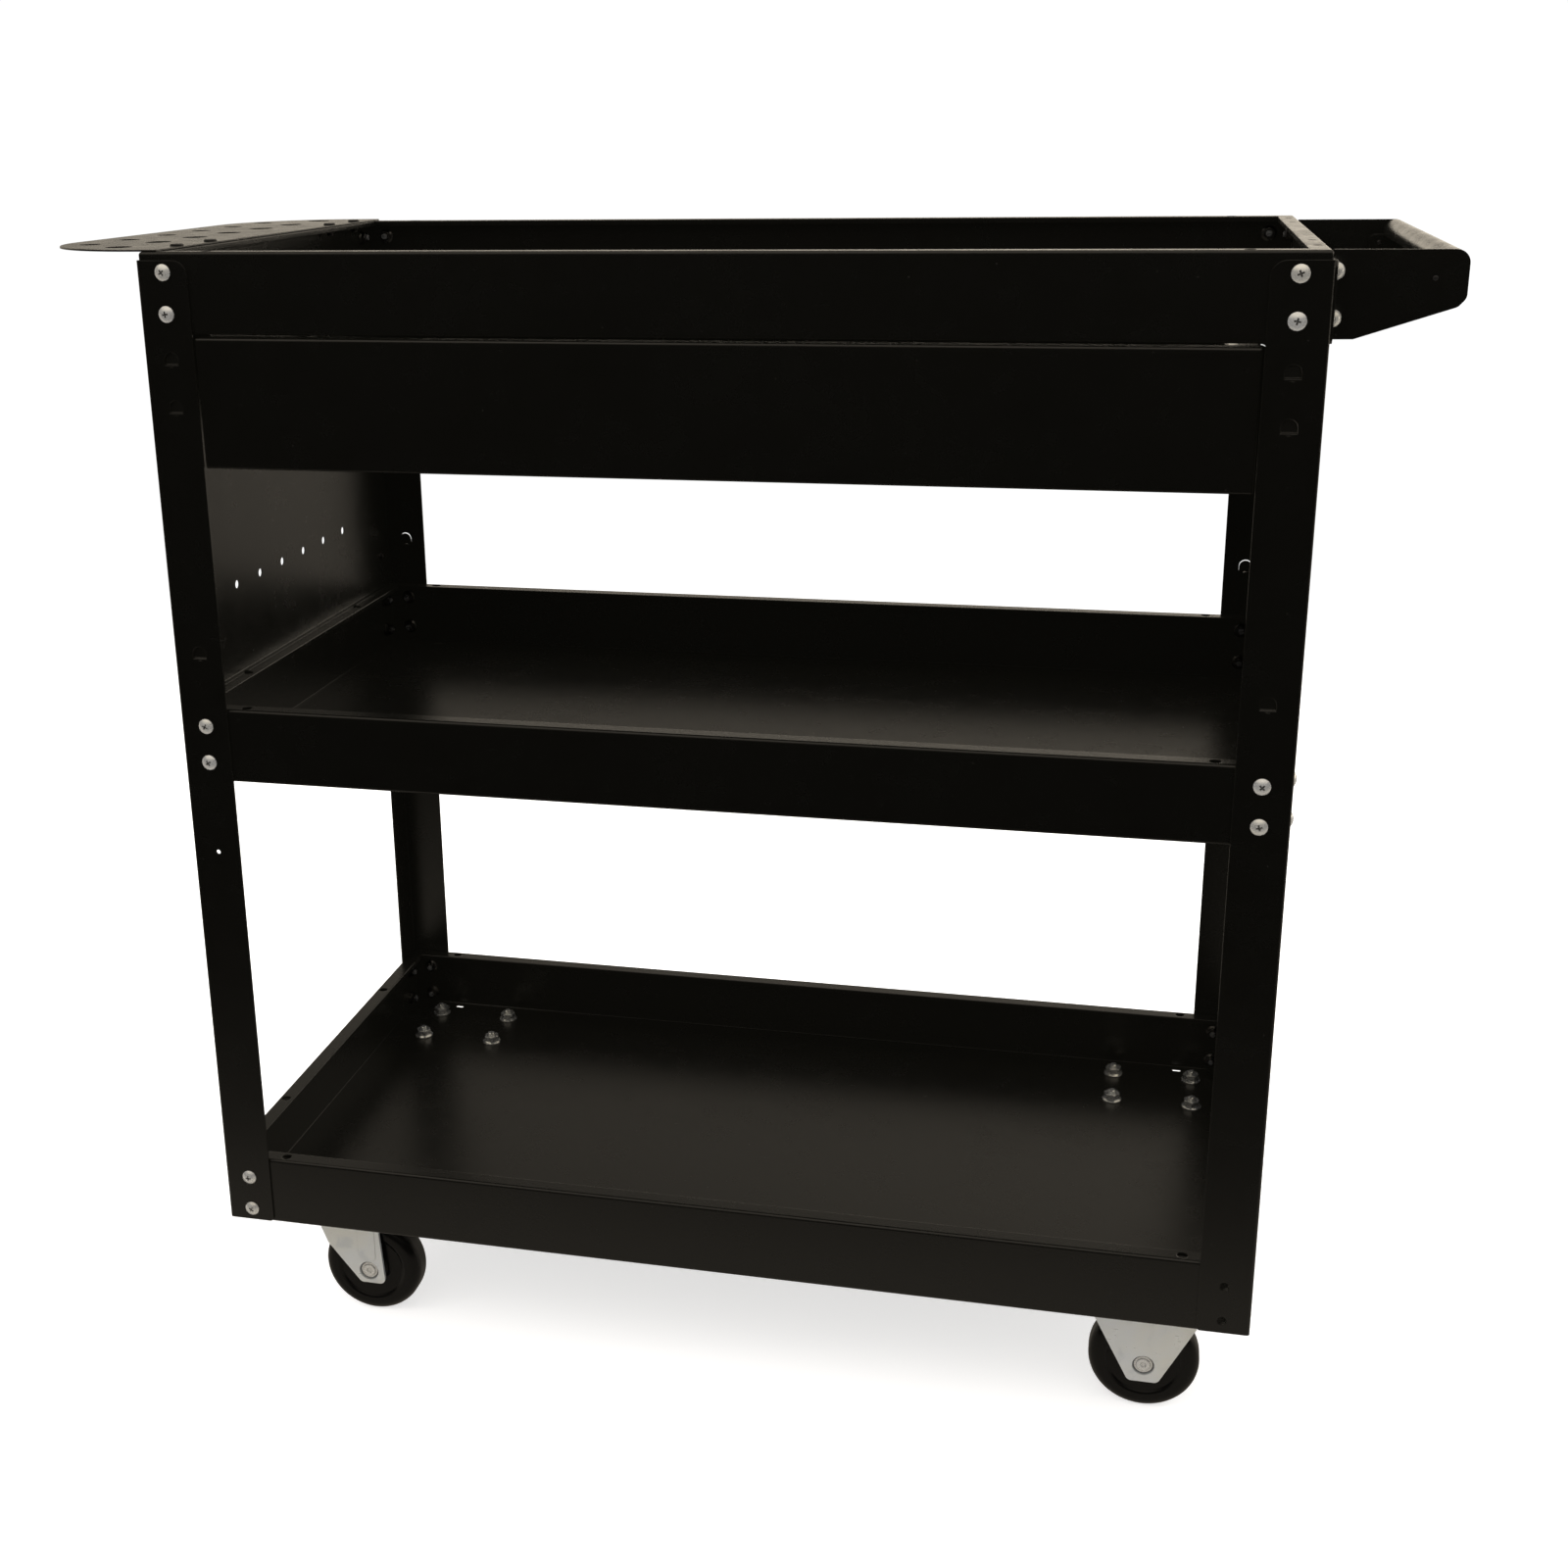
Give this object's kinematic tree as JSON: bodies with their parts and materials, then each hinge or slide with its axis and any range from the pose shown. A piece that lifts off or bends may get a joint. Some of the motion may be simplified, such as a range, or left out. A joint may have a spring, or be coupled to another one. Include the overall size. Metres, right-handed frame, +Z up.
{
  "type": "tool cart",
  "caption": "Black steel tool cart with open lipped trays, a sliding drawer under the top tray, a holed tool shelf at one end, a push handle at the other, and casters.",
  "frame": {"origin": "on the floor, at the centre of the outline seen from above", "axes": "+X towards the push handle, -Y the front where the drawer opens, +Z up"},
  "size_m": [0.932, 0.4058, 0.8265],
  "materials": {
    "black_powder_coat": "semi-gloss black powder coat with fine orange peel",
    "zinc_plated_steel": "bright zinc plate",
    "black_oxide_steel": "black oxide, satin",
    "bearing_steel": "polished",
    "moulded_wheel": "glossy moulded black"
  },
  "bodies": {
    "root": {"blind_rivets": "black_oxide_steel", "bottom_tray": "black_powder_coat", "caster_balls_front_left": "bearing_steel", "caster_balls_rear_left": "bearing_steel", "caster_bolts": "zinc_plated_steel", "caster_bracket_front_right": "zinc_plated_steel", "caster_bracket_rear_right": "zinc_plated_steel", "caster_kingpin_front_left": "zinc_plated_steel", "caster_kingpin_rear_left": "zinc_plated_steel", "caster_nuts": "zinc_plated_steel", "caster_plate_front_left": "zinc_plated_steel", "caster_plate_rear_left": "zinc_plated_steel", "drawer_hanger_left": "black_powder_coat", "drawer_hanger_right": "black_powder_coat", "end_panel_left": "black_powder_coat", "end_panel_right": "black_powder_coat", "handle_grip": "black_powder_coat", "handle_screws": "zinc_plated_steel", "handle_side_plate_front": "black_powder_coat", "handle_side_plate_rear": "black_powder_coat", "holder_nuts": "black_oxide_steel", "holder_screws": "black_oxide_steel", "leg_front_left": "black_powder_coat", "leg_front_right": "black_powder_coat", "leg_nuts": "zinc_plated_steel", "leg_rear_left": "black_powder_coat", "leg_rear_right": "black_powder_coat", "leg_screws": "zinc_plated_steel", "middle_tray": "black_powder_coat", "rigid_axle_bolts": "zinc_plated_steel", "rigid_axle_nuts": "zinc_plated_steel", "rigid_axle_sleeves": "zinc_plated_steel", "slide_outer_left": "zinc_plated_steel", "slide_outer_right": "zinc_plated_steel", "slide_screws_fixed": "zinc_plated_steel", "tool_holder_plate": "black_powder_coat", "top_tray": "black_powder_coat"},
    "drawer": {"drawer_box": "black_powder_coat", "drawer_front": "black_powder_coat", "drawer_rivets": "black_oxide_steel", "slide_inner_left": "zinc_plated_steel", "slide_inner_right": "zinc_plated_steel", "slide_screws_drawer": "zinc_plated_steel"},
    "slide_cage_left": {"slide_cage_left": "zinc_plated_steel", "slide_balls_left": "bearing_steel"},
    "slide_cage_right": {"slide_cage_right": "zinc_plated_steel", "slide_balls_right": "bearing_steel"},
    "swivel_front_left": {"caster_fork_front_left": "zinc_plated_steel", "caster_axle_front_left": "zinc_plated_steel", "caster_axle_nut_front_left": "zinc_plated_steel", "caster_sleeve_front_left": "zinc_plated_steel"},
    "swivel_rear_left": {"caster_fork_rear_left": "zinc_plated_steel", "caster_axle_rear_left": "zinc_plated_steel", "caster_axle_nut_rear_left": "zinc_plated_steel", "caster_sleeve_rear_left": "zinc_plated_steel"},
    "wheel_front_left": {"wheel_front_left": "moulded_wheel"},
    "wheel_rear_left": {"wheel_rear_left": "moulded_wheel"},
    "wheel_front_right": {"wheel_front_right": "moulded_wheel"},
    "wheel_rear_right": {"wheel_rear_right": "moulded_wheel"}
  },
  "joints": [
    {"name": "drawer_slide", "type": "slide", "parent": "root", "child": "drawer", "axis": [0, -1, 0], "range_m": [0, 0.26]},
    {"name": "slide_cage_left_run", "type": "slide", "parent": "root", "child": "slide_cage_left", "axis": [0, -1, 0], "range_m": [0, 0.13]},
    {"name": "slide_cage_right_run", "type": "slide", "parent": "root", "child": "slide_cage_right", "axis": [0, -1, 0], "range_m": [0, 0.13]},
    {"name": "caster_swivel_front_left", "type": "hinge", "parent": "root", "child": "swivel_front_left", "pos_m": [-0.3045, -0.15, 0.0882], "axis": [0, 0, 1], "continuous": true},
    {"name": "wheel_spin_front_left", "type": "hinge", "parent": "swivel_front_left", "child": "wheel_front_left", "pos_m": [-0.2765, -0.15, 0.0394], "axis": [0, 1, 0], "continuous": true},
    {"name": "caster_swivel_rear_left", "type": "hinge", "parent": "root", "child": "swivel_rear_left", "pos_m": [-0.3045, 0.15, 0.0882], "axis": [0, 0, 1], "continuous": true},
    {"name": "wheel_spin_rear_left", "type": "hinge", "parent": "swivel_rear_left", "child": "wheel_rear_left", "pos_m": [-0.2765, 0.15, 0.0394], "axis": [0, 1, 0], "continuous": true},
    {"name": "wheel_spin_front_right", "type": "hinge", "parent": "root", "child": "wheel_front_right", "pos_m": [0.3195, -0.15, 0.0394], "axis": [0, 1, 0], "continuous": true},
    {"name": "wheel_spin_rear_right", "type": "hinge", "parent": "root", "child": "wheel_rear_right", "pos_m": [0.3195, 0.15, 0.0394], "axis": [0, 1, 0], "continuous": true}
  ],
  "couplings": [
    {"joint": "slide_cage_left_run", "follows": "drawer_slide", "ratio": 0.5},
    {"joint": "slide_cage_right_run", "follows": "drawer_slide", "ratio": 0.5}
  ]
}
